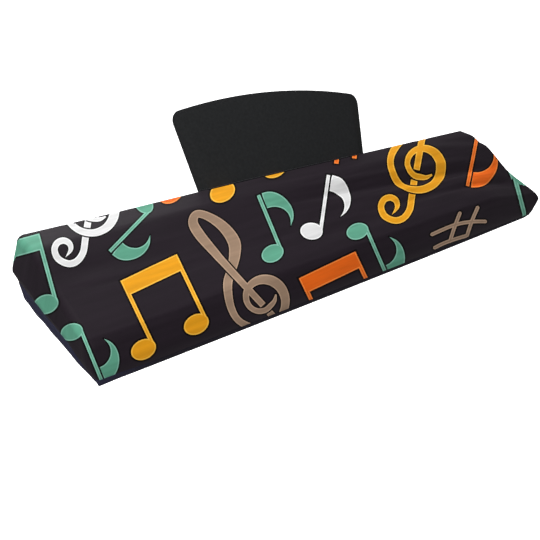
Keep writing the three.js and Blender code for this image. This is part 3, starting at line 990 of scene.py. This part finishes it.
def stitch_tree():
    tree = bpy.data.node_groups.new("stitches along a path", "GeometryNodeTree")
    sockets = {"Path": "Geometry", "Pitch": "Float", "Length": "Float", "Thread": "Float",
               "Material": "Material"}
    for name, kind in sockets.items():
        tree.interface.new_socket(name, in_out="INPUT", socket_type="NodeSocket" + kind)
    tree.interface.new_socket("Stitches", in_out="OUTPUT", socket_type="NodeSocketGeometry")
    path, pitch, length, thread, material = add(tree, "NodeGroupInput").outputs[:len(sockets)]
    curve = add(tree, "GeometryNodeMeshToCurve", {"Mesh": path})
    spaced = add(tree, "GeometryNodeResampleCurve", {"Curve": curve, "Length": pitch}, mode="LENGTH")
    tangent = add(tree, "GeometryNodeInputTangent")
    outward = add(tree, "GeometryNodeInputNamedAttribute", {"Name": "outward"}, data_type="FLOAT_VECTOR")
    along = add(tree, "FunctionNodeAlignRotationToVector", {"Vector": tangent}, axis="X")
    facing = add(tree, "FunctionNodeAlignRotationToVector", {"Rotation": along, "Vector": outward},
                 axis="Z", pivot_axis="X")
    ball = add(tree, "GeometryNodeMeshUVSphere", {"Segments": 8, "Rings": 5, "Radius": 0.5})
    size = add(tree, "ShaderNodeCombineXYZ", {0: length, 1: thread, 2: thread})
    stitch = add(tree, "GeometryNodeTransform", {"Geometry": ball, "Scale": size})
    placed = add(tree, "GeometryNodeInstanceOnPoints", {
        "Points": spaced, "Instance": stitch, "Rotation": facing})
    real = add(tree, "GeometryNodeRealizeInstances", {"Geometry": placed})
    shaded = add(tree, "GeometryNodeSetShadeSmooth", {"Geometry": real})
    dressed = add(tree, "GeometryNodeSetMaterial", {"Geometry": shaded, "Material": material})
    add(tree, "NodeGroupOutput", {"Stitches": dressed})
    return tree


STITCHES = stitch_tree()


def stitched(name, path, outward, closed, stitch, material):
    """A row of stitches along path as a plain mesh; stitch gives pitch, length and thickness."""
    pitch, length, thread = stitch
    mesh = bpy.data.meshes.new(name)
    count = len(path)
    edges = [(i, (i + 1) % count) for i in range(count if closed else count - 1)]
    mesh.from_pydata(((path - MOUNT) * MM).tolist(), edges, [])
    mesh.attributes.new("outward", "FLOAT_VECTOR", "POINT").data.foreach_set("vector", outward.ravel())
    helper = linked(name + "_path", mesh)
    modifier = helper.modifiers.new("stitches", "NODES")
    modifier.node_group = STITCHES
    values = {"Pitch": pitch * MM, "Length": length * MM, "Thread": thread * MM, "Material": material}
    for item in STITCHES.interface.items_tree:
        if item.in_out == "INPUT" and item.name in values:
            modifier[item.identifier] = values[item.name]
    evaluated = helper.evaluated_get(bpy.context.evaluated_depsgraph_get())
    result = bpy.data.meshes.new_from_object(evaluated)
    bpy.data.objects.remove(helper)
    return linked(name, result)


def pocket_row(side, path_a, path_b, lift):
    """Points on the pocket's face along a row of stitches, with the way they face."""
    relief = pocket_relief(path_a, path_b, 0)
    facing = -side * FRONT_FACING
    points = pocket_point(path_a, path_b, side, 0) + facing * (relief + lift)[:, None]
    return points, np.tile(facing, (len(points), 1))


EDGE_FOOT, RISE_POINTS, TOP_POINTS = 0.04, 60, 240


def pocket_edge_path(way):
    """Across and up values of a line that keeps its distance from the pocket's sides and top."""
    side_a = 1 - way / POCKET_BOTTOM_HALF
    top_b = 1 - way / POCKET_HEIGHTS[1]
    rise = np.linspace(EDGE_FOOT, top_b, RISE_POINTS)
    a = np.pad(np.linspace(-side_a, side_a, TOP_POINTS), RISE_POINTS - 1, "edge")
    b = np.concatenate([rise, np.full(TOP_POINTS - 2, top_b), rise[::-1]])
    return a, b


# Pieces

knit = printed_knit()
navy = navy_rib()
black = black_brushed()
dark_thread = sewing_thread("dark sewing thread", "#17161b")
grey_thread = sewing_thread("grey sewing thread", "#55565a")

panel = cover_panel(knit)
band = hem_band(navy)
pocket = music_rest_pocket(black)

# Pitch, length and thickness of the stitches, and how far they stand off the cloth
BASE_STITCH, BASE_LIFT = (4.0, 2.6, 0.9), 0.25
EDGE_STITCH, EDGE_LIFT = (4.0, 2.8, 0.8), 0.2
HEM_STITCH, HEM_STITCH_LIFT = (4.5, 3.0, 0.8), 1.1
# The row at the pocket's foot, and how far down the band its rows lie, in shares
BASE_REACH, BASE_UP, BASE_POINTS = 0.985, 0.012, 200
HEM_ROWS = {"hem_upper_stitches": 0.14, "hem_lower_stitches": 0.8}

base_a = np.linspace(-BASE_REACH, BASE_REACH, BASE_POINTS)
row = pocket_row(-1, base_a, np.full(BASE_POINTS, BASE_UP), BASE_LIFT)
base_row = stitched("pocket_base_stitches", *row, False, BASE_STITCH, grey_thread)
edge_path = pocket_edge_path(SEAM_LINE)
edge_rows = []
for side, name in ((-1, "pocket_front_stitches"), (1, "pocket_back_stitches")):
    row = pocket_row(side, *edge_path, EDGE_LIFT)
    edge_rows.append(stitched(name, *row, False, EDGE_STITCH, dark_thread))
rim, way, top_d, hem_d, _ = band_frame()
band_rows = []
for name, down in HEM_ROWS.items():
    place = (rim + way * lerp(top_d, hem_d, down)[:, None]).T
    out = panel_normal(*place)
    points = panel_point(*place) + out * HEM_STITCH_LIFT
    band_rows.append(stitched(name, points, out, True, HEM_STITCH, dark_thread))

# Floor, light and camera

FLOOR_DROP = -1.6
# Radius and height in metres of the floor's rings, out to the backdrop that closes over it
BACKDROP = [(0.01, 0.0), (22.0, 0.0), (26.5, 1.0), (29.0, 3.5), (30.0, 8.0), (28.0, 20.0), (20.0, 32.0),
            (0.01, 38.0)]
BACKDROP_SIDES = 48
WORLD_LIGHT = 0.36
# Lights: name, kind, place and aim in metres, and settings
LIGHTS = [
    ("overhead", "SUN", (0.0, 1.5, 1.2), (0, 0, 0),
     {"energy": 2.6, "angle": math.radians(15), "use_shadow": False}),
    ("key", "AREA", (-0.9, -1.6, 0.8), (-0.15, -0.1, -0.1), {"energy": 17.0, "size": 1.2}),
    ("softbox", "AREA", (-0.2, 0.05, 0.75), (-0.2, -0.05, 0.0), {"energy": 1.4, "size": 0.6}),
    ("left", "AREA", (-2.0, -0.3, 0.2), (-0.66, -0.1, -0.1), {"energy": 6.5, "size": 0.8}),
    ("rear", "AREA", (0.2, 2.0, 0.1), (0, 0, 0), {"energy": 20.0, "size": 1.2}),
]
SENSOR = 36.0


def floor():
    angle = np.arange(BACKDROP_SIDES) * 2 * math.pi / BACKDROP_SIDES
    rings = [np.stack([radius * np.cos(angle), radius * np.sin(angle), 0 * angle + FLOOR_DROP + height], 1)
             for radius, height in BACKDROP]
    sides = ring_faces(len(rings), BACKDROP_SIDES)[:-1, :, ::-1]
    faces = [list(range(BACKDROP_SIDES))] + sides.reshape(-1, 4).tolist()
    mesh = bpy.data.meshes.new("floor")
    mesh.from_pydata(np.vstack(rings).tolist(), [], faces)
    mesh.shade_smooth()
    material, tree = new_material("pale floor")
    shader = add(tree, "ShaderNodeBsdfPrincipled", {
        "Base Color": linear("#fbfbfb"), "Roughness": 0.9, "Specular IOR Level": 0.0,
        "Emission Color": linear("#ffffff"), "Emission Strength": 1.0})
    add(tree, "ShaderNodeOutputMaterial", {"Surface": shader})
    mesh.materials.append(material)
    ground = linked("floor", mesh)
    # The floor and backdrop throw no light back, so that the skirts stay darker than the top
    ground.visible_diffuse = False
    ground.visible_glossy = False
    ground.visible_shadow = False
    ground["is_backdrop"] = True


floor()
world = bpy.data.worlds.new("studio")
world.use_nodes = True
sky = world.node_tree.nodes["Background"]
sky.inputs["Color"].default_value = linear("#ffffff")
sky.inputs["Strength"].default_value = WORLD_LIGHT
for name, kind, place, aim, settings in LIGHTS:
    lamp = bpy.data.lights.new(name, kind)
    for key, value in settings.items():
        setattr(lamp, key, value)
    holder = linked(name, lamp)
    holder.location = place
    holder.rotation_euler = (Vector(aim) - Vector(place)).to_track_quat("-Z", "Y").to_euler()

camera = linked("camera", bpy.data.cameras.new("camera"))
camera.data.sensor_width = SENSOR
camera.data.lens = SENSOR * FOCAL_PX / IMAGE
turned = Matrix(np.stack([IMAGE_RIGHT, IMAGE_UP, -AHEAD], 1).tolist()).to_4x4()
turned.translation = Vector((EYE - MOUNT) * MM)
camera.matrix_world = turned
scene = bpy.context.scene
scene.world = world
scene.camera = camera
scene.view_settings.view_transform = "Standard"

for piece in [panel, band, pocket, base_row] + edge_rows + band_rows:
    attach(piece, "root")
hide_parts("cover_panel")
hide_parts("hem_band")
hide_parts("music_rest_pocket")

boxes = {"cad": cad_box, "visual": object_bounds()}
{name: [[float(c) for c in corner] for corner in box] for name, box in boxes.items()}
